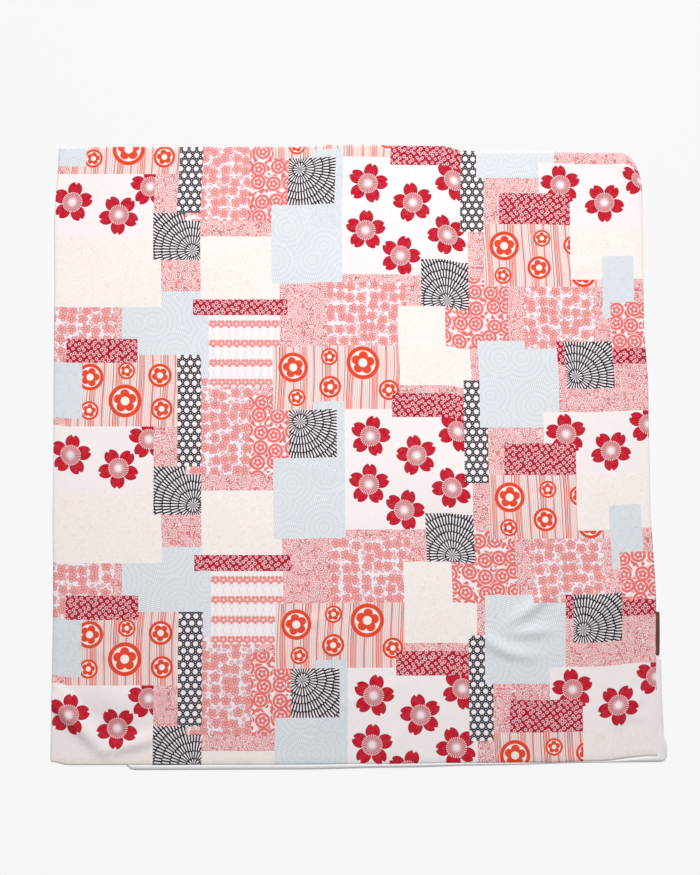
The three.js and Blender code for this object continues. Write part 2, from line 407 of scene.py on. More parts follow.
PATCHES = [
    Patch("pink_scroll", 0, 0, 76, 32),
    Patch("small_blossoms", 0, 25, 8, 17),
    Patch("pale_bursts", 9, 24, 11, 11),
    Patch("cream_scribble", 0, 1, 14, 9),
    Patch("striped_roundels", 2, 18, 14, 9),
    Patch("big_blossoms", 0, 10, 13, 8),
    Patch("navy_burst", 13, 7, 6, 6),
    Patch("crimson_rings", 2, 26, 9, 3),
    Patch("pale_spirals", 0, 19, 4, 7),
    Patch("small_blossoms", 17, 12, 9, 12),
    Patch("pink_bands", 20, 23, 9, 9),
    Patch("cream_scribble", 19, 2, 10, 8),
    Patch("navy_dots", 16, 13, 3, 14),
    Patch("crimson_rings", 18, 0, 12, 2),
    Patch("salmon_roundels", 25, 12, 9, 10),
    Patch("pale_bursts", 28, 4, 9, 10),
    Patch("striped_roundels", 28, 20, 16, 8),
    Patch("small_blossoms", 35, 28, 10, 8),
    Patch("pale_spirals", 33, 11, 4, 10),
    Patch("navy_burst", 30, 14, 6, 6),
    Patch("big_blossoms", 37, 5, 16, 15),
    Patch("crimson_rings", 43, 19, 11, 3),
    Patch("cream_scribble", 44, 23, 9, 10),
    Patch("salmon_roundels", 50, 28, 8, 9),
    Patch("navy_dots", 52, 11, 3, 13),
    Patch("navy_burst", 47, 1, 6, 6),
    Patch("pale_bursts", 54, 18, 10, 11),
    Patch("small_blossoms", 60, 28, 9, 8),
    Patch("striped_roundels", 55, 4, 15, 8),
    Patch("cream_scribble", 66, 5, 10, 9),
    Patch("big_blossoms", 62, 12, 14, 8),
    Patch("crimson_rings", 57, 12, 9, 4),
    Patch("pale_spirals", 70, 0, 4, 8),
    Patch("crimson_rings", 64, 26, 12, 3),
    Patch("navy_burst", 65, 23, 6, 6),
    Patch("salmon_roundels", 71, 28, 5, 6),
]
KINDS = sorted({patch.kind for patch in PATCHES})


def chart():
    """The kind of every module square in one repeat, as a number in KINDS."""
    kinds = np.zeros((REPEAT, ACROSS), int)
    for patch in PATCHES:
        rows = np.arange(patch.bottom, patch.bottom + patch.height) % REPEAT
        kinds[np.ix_(rows, np.arange(patch.left, patch.left + patch.width))] = KINDS.index(patch.kind)
    return kinds


CHART = chart()
shares = {kind: round(float((CHART == k).mean()), 2) for k, kind in enumerate(KINDS)}
print("share of the print:", shares)

# %% [markdown]
# Large motifs, the blossoms, roundels and bursts, are placed one by one. A shader can't hold a list of
# places cheaply, so each face of the mesh is given coordinates measured from the motif nearest to it, in a
# UV map of its own. The shader then draws one motif around its zero, and it appears wherever a place is
# listed.

# %% Places of the large motifs, in modules from the repeat's lower left
Spot = namedtuple("Spot", "x y radius turn")
BLOSSOM, BURST = 2.5, 1.0
SPOTS = {
    "big_blossoms": [
        Spot(2.6, 14.4, BLOSSOM, 10), Spot(8.6, 12.8, BLOSSOM, 50), Spot(12.4, 16.4, BLOSSOM, 20),
        Spot(40.2, 16.6, BLOSSOM, 5), Spot(46.0, 14.2, BLOSSOM, 30), Spot(51.2, 17.4, BLOSSOM, 62),
        Spot(40.0, 10.6, BLOSSOM, 15), Spot(50.4, 10.2, BLOSSOM, 40), Spot(44.4, 7.4, BLOSSOM, 0),
        Spot(64.8, 17.2, BLOSSOM, 25), Spot(70.4, 15.0, BLOSSOM, 55), Spot(75.2, 18.2, BLOSSOM, 12),
    ],
    "striped_roundels": [
        Spot(5.0, 24.2, 1.7, 0), Spot(9.4, 21.2, 2.1, 20), Spot(13.8, 24.4, 1.5, 50),
        Spot(4.9, 20.0, 1.2, 8), Spot(14.0, 20.2, 1.4, 30), Spot(9.6, 25.0, 1.1, 0),
        Spot(30.6, 25.4, 1.9, 30), Spot(35.2, 22.8, 1.4, 0), Spot(39.4, 25.8, 2.1, 12),
        Spot(42.6, 22.4, 1.3, 44), Spot(35.2, 26.6, 1.1, 10), Spot(31.0, 21.6, 1.1, 5),
        Spot(57.6, 9.2, 1.9, 15), Spot(62.0, 6.4, 1.5, 33), Spot(66.4, 9.4, 1.3, 60),
        Spot(57.4, 5.4, 1.1, 0), Spot(62.4, 10.2, 1.1, 20), Spot(67.6, 5.6, 1.6, 8),
    ],
    "navy_burst": [
        Spot(18.0, 8.2, BURST, 0), Spot(31.4, 18.6, BURST, 0), Spot(50.2, 1.8, BURST, 0),
        Spot(66.2, 24.6, BURST, 0),
    ],
}


def nearest_spot(kind, x, y):
    """The motif nearest to each x, y, counted in radii: rows of its x, y, radius and turn."""
    spots = [Spot(s.x * MODULE, (s.y + lift) * MODULE, s.radius * MODULE, math.radians(s.turn))
             for s in SPOTS[kind] for lift in (-REPEAT, 0, REPEAT, 2 * REPEAT)]
    distance = np.array([np.hypot(x - s.x, y - s.y) / s.radius for s in spots])
    nearest = distance.argmin(0)
    return np.array([[s.x, s.y, s.radius, s.turn] for s in spots])[nearest]


print("large motifs:", {kind: len(spots) for kind, spots in SPOTS.items()})

# %% [markdown]
# Each panel is one closed sheet: an upper side, an underside and a rounded edge. The grid's lines lie on
# the print's half modules, with a few more along the edges where the cloth turns under. A closed mesh made
# this way keeps its own UV maps, which a Solidify modifier would only copy.

# %% Sheet builder
RIM_BULGE = 0.35
UPPER, UNDER, RIM = 0, 1, 2


def lines_between(low, high, anchors, edge_lines, clear):
    """Grid lines from low to high: lines along both edges, and those of the anchors that stay clear."""
    near = [low + e for e in edge_lines] + [high - e for e in edge_lines]
    margin = edge_lines[-1] + clear
    inner = [a for a in anchors if low + margin < a < high - margin]
    return np.array(sorted(near + inner))


def make_piece(name, points, faces):
    """A smooth piece from points in millimetres. Its object stays at the origin."""
    mesh = bpy.data.meshes.new(name)
    mesh.from_pydata((np.array(points) * MM).tolist(), [], faces)
    mesh.polygons.foreach_set("use_smooth", np.ones(len(faces), bool))
    piece = bpy.data.objects.new(name, mesh)
    bpy.context.scene.collection.objects.link(piece)
    return piece


def closed_sheet(name, upper, lower, flat):
    """upper and lower are grids of points in millimetres, and flat holds the flat cloth's coordinates."""
    rows, columns = upper.shape[:2]
    count = rows * columns
    at = np.arange(count).reshape(rows, columns)
    quads = np.stack([at[:-1, :-1], at[:-1, 1:], at[1:, 1:], at[1:, :-1]], -1).reshape(-1, 4)
    ring = np.concatenate([at[0, :-1], at[:-1, -1], at[-1, :0:-1], at[:0:-1, 0]])
    points = [upper.reshape(-1, 3), lower.reshape(-1, 3)]

    before, after = np.roll(ring, 1), np.roll(ring, -1)
    edge = points[0][ring]
    along = points[0][after] - points[0][before]
    outward = np.stack([along[:, 1], -along[:, 0], np.zeros(len(ring))], 1)
    outward /= np.linalg.norm(outward, axis=1)[:, None]
    middle = (edge + points[1][ring]) / 2 + RIM_BULGE * outward
    points.append(middle)

    rim = np.arange(len(ring)) + 2 * count
    rim_after = np.roll(rim, -1)
    upper_rim = np.stack([rim, rim_after, after, ring], 1)
    lower_rim = np.stack([ring + count, after + count, rim_after, rim], 1)
    faces = np.concatenate([quads, quads[:, ::-1] + count, upper_rim, lower_rim])
    flat_points = np.concatenate([flat.reshape(-1, 2), flat.reshape(-1, 2), flat.reshape(-1, 2)[ring]])

    piece = make_piece(name, np.concatenate(points), faces.tolist())
    sides = np.repeat([UPPER, UNDER, RIM, RIM], [len(quads), len(quads), len(ring), len(ring)])
    return piece, faces, flat_points, sides


def add_map(piece, name, corners):
    layer = piece.data.uv_layers.new(name=name, do_init=False)
    layer.uv.foreach_set("vector", corners.astype(np.float32).ravel())


print("a closed sheet has an upper side, an underside and a rim")

# %% [markdown]
# So that its finish can be baked to one picture, the face has a map on which no two faces lie over each
# other. Blender could unwrap it, but its islands would move with any edit. Here the upper side takes nearly
# the whole width, and the underside and the rim take narrow strips beside it.

# %% Map for the bake
MAP_MARGIN = 0.003
MAP_SPAN = 0.994
SIDE_SHARE = 0.93
UNDER_LEFT, UNDER_SHARE = 0.94, 0.026
RIM_LEFT, RIM_STEP, RIM_SHARE = 0.970, 0.0036, 0.0024
ON_END = 1e-6


def bake_places(faces, flat_points, sides):
    """Each of the rim's four sides has two strips of its own, one for each row of its faces."""
    low, high = flat_points.min(0), flat_points.max(0)
    unit = (flat_points[faces] - low) / (high - low)
    middle = unit.mean(1)
    left = np.array([MAP_MARGIN, UNDER_LEFT, 0.0])[sides][:, None]
    share = np.array([SIDE_SHARE, UNDER_SHARE, 0.0])[sides][:, None]
    u = left + share * unit[..., 0]
    v = MAP_MARGIN + MAP_SPAN * unit[..., 1]

    on_rim = sides == RIM
    runs_across = on_rim & (np.minimum(middle[:, 1], 1 - middle[:, 1]) < ON_END)
    far = np.where(runs_across, middle[:, 1] > 0.5, middle[:, 0] > 0.5)
    rim_rows = np.arange(len(faces)) >= len(faces) - on_rim.sum() // 2
    strip = 4 * runs_across + 2 * far + rim_rows
    inside_strip = RIM_SHARE * np.array([0.0, 0.0, 1.0, 1.0])
    u = np.where(on_rim[:, None], RIM_LEFT + RIM_STEP * strip[:, None] + inside_strip, u)
    v = np.where(runs_across[:, None], MAP_MARGIN + MAP_SPAN * unit[..., 0], v)
    return np.stack([u, v], -1).reshape(-1, 2)


print("the upper side takes", SIDE_SHARE, "of the map's width")

# %% [markdown]
# The printed panel is the piece that is seen. Its edge is turned in along the seam: it drops in a quarter
# round, and the seam allowance inside shows as a faint ridge a little way in. The panel could be a plane
# with modifiers, but its height has to follow the folds, so each point's height is worked out instead.

# %% Face panel
FLAT_WIDTH = 684.0
FLAT_LENGTH = 706.0
PRINT_LEFT = -FLAT_WIDTH / 2 - 4.0
PRINT_BOTTOM = -FLAT_LENGTH / 2 - 8 * MODULE - 3.0
REPEATS_LAID = 4
HALF_MODULE = MODULE / 2
FACE_EDGE_LINES = [0.0, 0.7, 1.6, 2.8, 4.4]
FACE_CLEAR = 1.2
FACE_TOP_Z = 2.2
FACE_THICK = 0.8
EDGE_DROP, EDGE_TURN = 1.0, 3.2
UNDERSIDE_DROP_SHARE = 0.35
ALLOWANCE_HEIGHT, ALLOWANCE_IN, ALLOWANCE_REACH = 0.22, 7.0, 2.2

anchor_x = PRINT_LEFT + HALF_MODULE * np.arange(2 * ACROSS + 1)
anchor_y = PRINT_BOTTOM + HALF_MODULE * np.arange(2 * REPEAT * REPEATS_LAID)
flat_x = lines_between(-FLAT_WIDTH / 2, FLAT_WIDTH / 2, anchor_x, FACE_EDGE_LINES, FACE_CLEAR)
flat_y = lines_between(-FLAT_LENGTH / 2, FLAT_LENGTH / 2, anchor_y, FACE_EDGE_LINES, FACE_CLEAR)
face_flat = np.stack(np.meshgrid(flat_x, flat_y), -1)


def edge_distance(flat):
    """How far in from the flat sheet's nearest edge each point lies."""
    aside = FLAT_WIDTH / 2 - np.abs(flat[..., 0])
    up_down = FLAT_LENGTH / 2 - np.abs(flat[..., 1])
    return np.minimum(aside, up_down)


def face_sides(flat):
    x, y = on_outline(flat[..., 0] * WIDTH / FLAT_WIDTH, flat[..., 1] * LENGTH / FLAT_LENGTH,
                      FACE_EDGES, FACE_CORNERS)
    inside = edge_distance(flat)
    turned = EDGE_DROP * (1 - np.sqrt(np.clip(1 - (1 - np.clip(inside / EDGE_TURN, 0, 1)) ** 2, 0, 1)))
    allowance = ALLOWANCE_HEIGHT * np.exp(-((inside - ALLOWANCE_IN) / ALLOWANCE_REACH) ** 2)
    height = fold_height(x, y)
    upper = np.stack([x, y, FACE_TOP_Z + height + allowance - turned], -1)
    lower = np.stack([x, y, FACE_TOP_Z - FACE_THICK + height - UNDERSIDE_DROP_SHARE * turned], -1)
    return upper, lower


face_upper, face_lower = face_sides(face_flat)
face_cloth, face_faces, face_flat_points, face_side = closed_sheet(
    "face_cloth", face_upper, face_lower, face_flat)
print("face_cloth:", len(face_faces), "faces")

# %% [markdown]
# Every face of the panel's mesh now gets the kind of print that the chart has at its place, and its
# coordinates in three maps: the flat cloth in metres, for patterns that run on; the nearest large motif, in
# that motif's radii; and the map for the bake. A texture painted over the whole cloth would do as well, but
# maps and formulas stay sharp at any distance.

# %% Kinds of print and maps on the face
FAR_AWAY = 50.0
NUDGE = 1e-4


def print_kinds(centres):
    column = np.floor((centres[:, 0] - PRINT_LEFT) / MODULE).astype(int)
    row = np.floor((centres[:, 1] - PRINT_BOTTOM) / MODULE).astype(int)
    return CHART[row % REPEAT, np.clip(column, 0, ACROSS - 1)]


face_centres = face_flat_points[face_faces].mean(1)
kind_of_face = print_kinds(face_centres * (1 - NUDGE))
motif = np.full((len(face_faces), 4, 2), FAR_AWAY)
for number, kind in enumerate(KINDS):
    if kind not in SPOTS:
        continue
    chosen = kind_of_face == number
    from_corner = face_centres[chosen] - [PRINT_LEFT, PRINT_BOTTOM]
    spot = nearest_spot(kind, from_corner[:, 0], from_corner[:, 1])
    local = face_flat_points[face_faces[chosen]] - [PRINT_LEFT, PRINT_BOTTOM] - spot[:, None, :2]
    cos, sin = np.cos(spot[:, 3])[:, None], np.sin(spot[:, 3])[:, None]
    turned_x = cos * local[..., 0] + sin * local[..., 1]
    turned_y = cos * local[..., 1] - sin * local[..., 0]
    motif[chosen] = np.stack([turned_x, turned_y], -1) / spot[:, 2][:, None, None]

add_map(face_cloth, "Flat", (face_flat_points[face_faces] * MM).reshape(-1, 2))
add_map(face_cloth, "Motif", motif.reshape(-1, 2))
add_map(face_cloth, "OFBake", bake_places(face_faces, face_flat_points, face_side))
print("faces of each kind:", {kind: int((kind_of_face == k).sum()) for k, kind in enumerate(KINDS)})

# %% [markdown]
# Every printed pattern sits on the same plain-weave cotton, so they share one finish: a fine over-and-under
# weave and a soft unevenness as bump, a little mottling of the ink, and a matt, slightly uneven roughness.
# Real threads would take millions of faces. The product of two sine waves reads as a weave from near and
# costs nothing.

# %% Cotton finish
THREAD = 0.55
WHITE = ink(253, 243, 243)
NAVY = ink(22, 23, 46)
CRIMSON = ink(186, 12, 46)
ORANGE = ink(238, 72, 42)
SALMON = ink(238, 118, 116)
SHEEN, SHEEN_ROUGHNESS, SPECULAR = 0.02, 0.6, 0.08


def finish_cotton(s, colour, u, v):
    """Lays the pattern's colour on woven cotton. u and v are millimetres on the flat cloth."""
    warp = (u * (math.pi / THREAD)).sin()
    weft = (v * (math.pi / THREAD)).sin()
    slub = s.noise(u, v, 5.0, detail=3.0)
    soft = s.noise(u, v, 38.0, detail=1.0)
    height = warp * weft * 0.05 + slub * 0.10 + soft * 0.5
    ink_mottle = slub.below(0.42, 0.5) * 0.07
    tone = s.mix(ink_mottle, colour, ink(190, 186, 192))
    bump = s.node("ShaderNodeBump", inputs={"Strength": 0.5, "Distance": MM, "Height": height})
    s.feed(s.shader.inputs["Base Color"], tone)
    s.feed(s.shader.inputs["Roughness"], slub * 0.12 + 0.80)
    s.feed(s.shader.inputs["Normal"], bump.outputs["Normal"])
    s.feed(s.shader.inputs["Sheen Weight"], SHEEN)
    s.feed(s.shader.inputs["Sheen Roughness"], SHEEN_ROUGHNESS)
    s.feed(s.shader.inputs["Specular IOR Level"], SPECULAR)
    return s.material


def new_print(name):
    """A new material, and the flat cloth's coordinates in millimetres."""
    s = Surface(name)
    x, y = s.map("Flat")
    return s, x / MM, y / MM


print_materials = {}
print("threads are", THREAD, "mm apart")

# %% [markdown]
# The cherry blossom has five petals with a notch at the tip. One petal is an ellipse with a small wedge cut
# out of its end. Folding the angle into fifths draws all five at once. Its centre is a disc of fine rays
# that runs from white to red, with a ring of short white dashes round it.

# %% Five-petal blossoms
NOTCH_SLOPE, NOTCH_SHARPNESS = 1.3, 7
RAYS = 30


def petals(radius, angle, count=5):
    """Folds the plane into one petal: distance along its axis, and distance aside from it."""
    turn = ((angle * (count / math.tau) + 0.5).fract() - 0.5) * (math.tau / count)
    return radius * turn.cos(), abs(radius * turn.sin())


def notched_petal(along, aside, middle=0.65, half_length=0.39, half_width=0.36, notch=0.91):
    """0 at the petal's middle and 1 on its outline."""
    x = (along - middle) / half_length
    y = aside / half_width
    oval = (x * x + y * y).root()
    wedge = (along - aside * NOTCH_SLOPE - notch) * NOTCH_SHARPNESS + 1
    return oval.max(wedge)


def big_blossoms():
    s, u, v = new_print("print_big_blossoms")
    x, y = s.map("Motif")
    radius, angle = polar(x, y)
    along, aside = petals(radius, angle)
    shape = notched_petal(along, aside)
    rim = abs(shape - 0.95).below(0.05, 0.05)
    petal = s.mix(rim * 0.7, ink(202, 18, 45), ink(134, 8, 32))
    colour = s.mix(shape.below(1.0, 0.06), WHITE, petal)
    ray = (angle * RAYS).cos().above(0.1, 0.9)
    redness = (radius * 5.0 - 0.45).held() * (ray * 0.60 + 0.40)
    disc = s.mix(redness, WHITE, ink(196, 16, 46))
    colour = s.mix(radius.below(0.46, 0.03), colour, disc)
    dots = (angle * RAYS + 2.0).cos().above(0.0, 0.8) * abs(radius - 0.485).below(0.024, 0.02)
    colour = s.mix(dots, colour, WHITE)
    return finish_cotton(s, colour, u, v)


print_materials["big_blossoms"] = big_blossoms()
print("big blossoms:", RAYS, "rays round each centre")

# %% [markdown]
# The small blossoms are the same flower, sprinkled. Listing hundreds of places would be tedious, so a
# Voronoi texture scatters them: it gives each place its nearest point, and a random number that turns the
# flower. A second, denser set gives the buds between.

# %% Sprinkled blossoms
def sprinkled_flowers(s, u, v, pitch, size):
    """Small blossoms on uneven points: 0 at a petal's middle and 1 on its outline, and the radius."""
    x, y, chance = s.scattered(u, v, pitch, unevenness=0.5)
    radius, angle = polar(x / size, y / size)
    along, aside = petals(radius, angle + chance * 6.0)
    shape = notched_petal(along, aside, middle=0.54, half_length=0.44, half_width=0.37, notch=0.84)
    return shape, radius


def small_blossoms():
    s, u, v = new_print("print_small_blossoms")
    shape, radius = sprinkled_flowers(s, u, v, pitch=12.4, size=0.53)
    buds, bud_radius = sprinkled_flowers(s, u + 5.0, v + 3.0, pitch=7.2, size=0.48)
    pink, deep, ground = ink(244, 156, 152), ink(204, 84, 94), ink(246, 241, 247)
    flower = s.mix(abs(shape - 0.88).below(0.10, 0.12) * 0.6, pink, deep)
    flower = s.mix(shape.below(0.42, 0.2) * 0.35, flower, ink(252, 214, 206))
    flower = s.mix(abs(radius - 0.20).below(0.05, 0.06) * 0.8, flower, deep)
    bud = s.mix(bud_radius.below(0.3, 0.1), pink, deep)
    colour = s.mix(buds.below(0.86, 0.16) * 0.8, ground, bud)
    colour = s.mix(shape.below(1.34, 0.10), colour, ground)
    colour = s.mix(shape.below(1.0, 0.10), colour, flower)
    return finish_cotton(s, colour, u, v)


print_materials["small_blossoms"] = small_blossoms()
print("made", list(print_materials))

# %% [markdown]
# Two of the patterns are bursts, like a chrysanthemum seen from above: rings of short dashes round a
# centre, each ring with more dashes than the last and set half a dash on from it. One function draws both,
# bold white on navy and faint on pale blue.

# %% Bursts of dashes
def burst(radius, angle, ring, first, more, thick):
    """1 on a dash and 0 between. radius and ring are millimetres."""
    number = (radius / ring).floor()
    dashes = number * more + first
    turn = (angle / math.tau * dashes + number * 0.5).fract()
    aside = abs(turn - 0.5) * 2
    end = abs((radius / ring).fract() - 0.5) * 2
    along = (radius / ring).fract()
    width = (along * 0.3 + 0.75) * thick
    shape = (aside / width) ** 2 + (end / 0.92) ** 6
    return shape.below(1.0, 0.5)


def navy_burst():
    s, u, v = new_print("print_navy_burst")
    x, y = s.map("Motif")
    radius, angle = polar(x, y)
    wobble = s.noise(u, v, 9.0, detail=0.0) * 2.4
    dash = burst(radius * MODULE + wobble, angle, ring=9.2, first=13, more=15, thick=0.52)
    colour = s.mix(dash, NAVY, WHITE)
    return finish_cotton(s, colour, u, v)


def pale_bursts():
    s, u, v = new_print("print_pale_bursts")
    pitch = 46.0
    x, y, _ = s.scattered(u, v, pitch, unevenness=0.8)
    radius, angle = polar(x, y)
    dash = burst(radius * pitch, angle, ring=5.6, first=22, more=12, thick=0.52)
    colour = s.mix(dash * 0.85, ink(215, 222, 229), ink(247, 249, 251))
    return finish_cotton(s, colour, u, v)


print_materials["navy_burst"] = navy_burst()
print_materials["pale_bursts"] = pale_bursts()
print("made", list(print_materials))

# %% [markdown]
# The small grounds are old repeats. The first two are dots on a net and tied-dye rings. The dots sit on a
# regular lattice, so the coordinates are folded into one cell of it. The rings sit on uneven points and vary
# in width, as tied ones do.

# %% Dots and rings
def lattice_distance(u, v, pitch, shift):
    """Distance to the nearest point of a triangular lattice, in pitches."""
    tall = math.sqrt(3)
    x, y = u / pitch, v / (pitch * tall) + shift / tall
    first = polar((x.fract() - 0.5), (y.fract() - 0.5) * tall)[0]
    second = polar(((x + 0.5).fract() - 0.5), ((y + 0.5).fract() - 0.5) * tall)[0]
    return first.min(second)


def navy_dots():
    s, u, v = new_print("print_navy_dots")
    pitch = 9.0
    large = lattice_distance(u, v, pitch, 0).below(0.325, 0.06)
    between = (lattice_distance(u, v, pitch / 2, 0) / 2).below(0.040, 0.05)
    height = 1 / math.sqrt(3)
    corners = lattice_distance(u, v, pitch, height).min(lattice_distance(u, v, pitch, -height))
    dots = large.max(between).max(corners.below(0.065, 0.05))
    return finish_cotton(s, s.mix(dots, NAVY, WHITE), u, v)


def crimson_rings():
    s, u, v = new_print("print_crimson_rings")
    slant_cos, slant_sin = 0.8, 0.6
    slanted_u, slanted_v = u * slant_cos + v * slant_sin, v * slant_cos - u * slant_sin
    x, y, chance = s.scattered(slanted_u, slanted_v, pitch=5.2, unevenness=0.35)
    radius = polar(x * (chance * 0.3 + 0.85), y)[0]
    ring = abs(radius - 0.27).below(0.090, 0.09)
    colour = s.mix(ring * 0.95, CRIMSON, ink(250, 216, 220))
    return finish_cotton(s, colour, u, v)


print_materials["navy_dots"] = navy_dots()
print_materials["crimson_rings"] = crimson_rings()
print("made", list(print_materials))

# %% [markdown]
# The other grounds are curled lines. A spiral is the place where the angle, plus so many turns for each unit
# of radius, passes a whole number, so no curve has to be drawn. Between the spirals run the contour lines of
# a twisted noise, which wander the way an arabesque does. The pale spirals stand in rows, the pink ones on
# uneven points, and the cream cloth has the wandering lines alone.

# %% Spirals, scrolls and scribbles
def contour_lines(s, u, v, size, count, thick):
    wander = s.noise(u, v, size, detail=1.0, distortion=1.4)
    return abs((wander * count).fract() - 0.5).below(thick, 0.10)


def pale_spirals():
    s, u, v = new_print("print_pale_spirals")
    pitch, row_share = 13.0, 0.87
    y = v / (pitch * row_share)
    x = u / pitch + y.floor() * 0.5
    radius, angle = polar(x.fract() - 0.5, (y.fract() - 0.5) * row_share)
    arm = (radius * 6.4 + angle / math.tau).fract()
    line = abs(arm - 0.5).below(0.22, 0.14) * radius.below(0.45, 0.03)
    curls = contour_lines(s, u, v, size=5.0, count=4.0, thick=0.2) * radius.above(0.47, 0.03)
    colour = s.mix(line.max(curls) * 0.8, ink(212, 220, 227), ink(246, 248, 250))
    return finish_cotton(s, colour, u, v)


def pink_scroll():
    s, u, v = new_print("print_pink_scroll")
    pitch = 8.6
    x, y, chance = s.scattered(u, v, pitch, unevenness=0.8)
    radius, angle = polar(x, y)
    arm = (radius * 4.2 + (angle / math.tau) + chance * 7).fract()
    curl = abs(arm - 0.5).below(0.25, 0.16) * radius.below(0.46, 0.05)
    stem = contour_lines(s, u, v, size=6.0, count=5.0, thick=0.22) * radius.above(0.48, 0.05)
    dots = s.noise(u, v, 2.4, detail=0.0).above(0.60, 0.06) * radius.above(0.40, 0.05)
    deeper = s.noise(u + 40, v, 16.0, detail=1.0).above(0.5, 0.3)
    tone = s.mix(deeper, ink(236, 138, 140), ink(214, 96, 104))
    colour = s.mix(curl.max(stem).max(dots) * 0.95, ink(253, 234, 232), tone)
    return finish_cotton(s, colour, u, v)


def cream_scribble():
    s, u, v = new_print("print_cream_scribble")
    line = contour_lines(s, u, v, size=9.0, count=6.0, thick=0.13)
    colour = s.mix(line * 0.30, ink(254, 246, 242), ink(234, 204, 191))
    return finish_cotton(s, colour, u, v)


print_materials["pale_spirals"] = pale_spirals()
print_materials["pink_scroll"] = pink_scroll()
print_materials["cream_scribble"] = cream_scribble()
print("made", list(print_materials))

# %% [markdown]
# The last patterns carry plum flowers, which are five round petals, the plainest flower there is. The first
# has them in roundels over wavering stripes. The bold stripes are a short table of places in one repeat, as
# uneven as hand-drawn ones, and the fine ones are a cosine between them.

# %% Roundels over stripes
def plum(radius, angle):
    """Distance from a plum flower's outline, in its radii: below 0 inside."""
    along, aside = petals(radius, angle)
    return polar(along - 0.60, aside)[0] - 0.40


BROWN = ink(150, 62, 52)
STRIPE_REPEAT = 27.0
Stripe = namedtuple("Stripe", "place half_width tone")
BOLD_STRIPES = [
    Stripe(0.060, 0.020, ORANGE), Stripe(0.110, 0.009, BROWN), Stripe(0.160, 0.020, ORANGE),
    Stripe(0.235, 0.018, ORANGE), Stripe(0.280, 0.008, BROWN), Stripe(0.600, 0.014, ORANGE),
    Stripe(0.640, 0.008, BROWN), Stripe(0.945, 0.010, BROWN),
]


def stripes(s, u, v):
    """Groups of bold stripes with fine lines between them, all swaying together."""
    sway = (v / 19.0).sin() * 0.7 + (v / 43.0 + 1.0).sin() * 1.9
    drift = s.noise(u, v / 5, 30.0, detail=0.0) * 7
    x = ((u + sway + drift) / STRIPE_REPEAT).fract()
    fine = (x * (math.tau * 13)).cos().above(0.45, 0.8) * x.above(0.30, 0.02)
    hair = (x * (math.tau * 26)).cos().above(0.3, 1.0) * 0.3
    colour = s.mix(fine.max(hair) * 0.62, ink(254, 242, 239), ink(224, 120, 110))
    for stripe in BOLD_STRIPES:
        colour = s.mix(abs(x - stripe.place).below(stripe.half_width, 0.012), colour, stripe.tone)
    return colour


def striped_roundels():
    s, u, v = new_print("print_striped_roundels")
    x, y = s.map("Motif")
    radius, angle = polar(x, y)
    flower = plum(radius / 0.70, angle).below(0.0, 0.05)
    eye = abs(radius - 0.20).below(0.06, 0.03)
    ring = abs(radius - 0.87).below(0.125, 0.03)
    cream = ink(255, 247, 241)
    inside = s.mix(flower.max(ring), cream, ORANGE)
    inside = s.mix(eye, inside, cream)
    colour = s.mix(radius.below(1.0, 0.03), stripes(s, u, v), inside)
    return finish_cotton(s, colour, u, v)


print_materials["striped_roundels"] = striped_roundels()
print("bold stripes in each", STRIPE_REPEAT, "mm:", len(BOLD_STRIPES))

# %% [markdown]
# Two more carry the same flower: small salmon roundels packed like bubbles, scattered as the sprinkled
# blossoms are, and rows of plum flowers joined by thin crossing cords, which are a plain lattice.

# %% Salmon roundels and rows of flowers
def salmon_roundels():
    s, u, v = new_print("print_salmon_roundels")
    x, y, chance = s.scattered(u, v, pitch=18.0, unevenness=0.40)
    radius, angle = polar(x, y)
    ring = abs(radius - 0.40).below(0.085, 0.03)
    flower = plum(radius / 0.29, angle + chance * 6).below(0.0, 0.12) * radius.above(0.07, 0.04)
    leaf = s.noise(u, v, 5.0, detail=0.0).above(0.50, 0.06) * radius.above(0.52, 0.03)
    colour = s.mix(ring.max(flower).max(leaf), ink(253, 243, 241), SALMON)
    return finish_cotton(s, colour, u, v)


def pink_bands():
    s, u, v = new_print("print_pink_bands")
    band, step = 22.5, 9.0
    large_radius, small_radius = 5.0, 2.6
    row = (v / band).fract() * band - band / 2
    column = (u / step).fract() * step - step / 2
    radius, angle = polar(column, row)
    flower = plum(radius / large_radius, angle + math.pi / 2).below(0.0, 0.16)
    lane = (u / step + 0.5).fract() * step - step / 2
    small = plum(polar(lane, row - 1.0)[0] / small_radius, angle).below(0.0, 0.3)
    left_cord = abs(((u / step + v / band).fract() - 0.5) * step)
    right_cord = abs(((u / step - v / band).fract() - 0.5) * step)
    cords = left_cord.min(right_cord).below(0.22, 0.5) * abs(row).above(3.6, 0.6)
    colour = s.mix(cords * 0.55, ink(252, 248, 247), ink(236, 150, 152))
    colour = s.mix(flower.max(small), colour, ink(242, 150, 148))
    colour = s.mix(radius.below(1.0, 0.5) * 0.7, colour, ink(253, 226, 220))
    return finish_cotton(s, colour, u, v)


print_materials["salmon_roundels"] = salmon_roundels()
print_materials["pink_bands"] = pink_bands()
print("made", list(print_materials))

# %% [markdown]
# The back of the printed cotton is unprinted. It is hardly seen, but the sheet's underside still gets the
# plain cloth, with the print showing through only as a faint blush. Each kind of print is one material slot,
# and every face of the mesh is given the number of its slot.

# %% Put the print on the face
def plain_cotton(name, tone, blush):
    s, u, v = new_print(name)
    share = s.noise(u, v, 24.0, detail=2.0)
    return finish_cotton(s, s.mix(share, tone, blush), u, v)


reverse = plain_cotton("cotton_reverse", ink(240, 234, 232), ink(236, 222, 222))
for kind in KINDS:
    face_cloth.data.materials.append(print_materials[kind])
face_cloth.data.materials.append(reverse)
slots = np.where(face_side == UNDER, len(KINDS), kind_of_face)
face_cloth.data.polygons.foreach_set("material_index", slots.astype(np.int32))
print("the face has", len(face_cloth.data.materials), "materials")

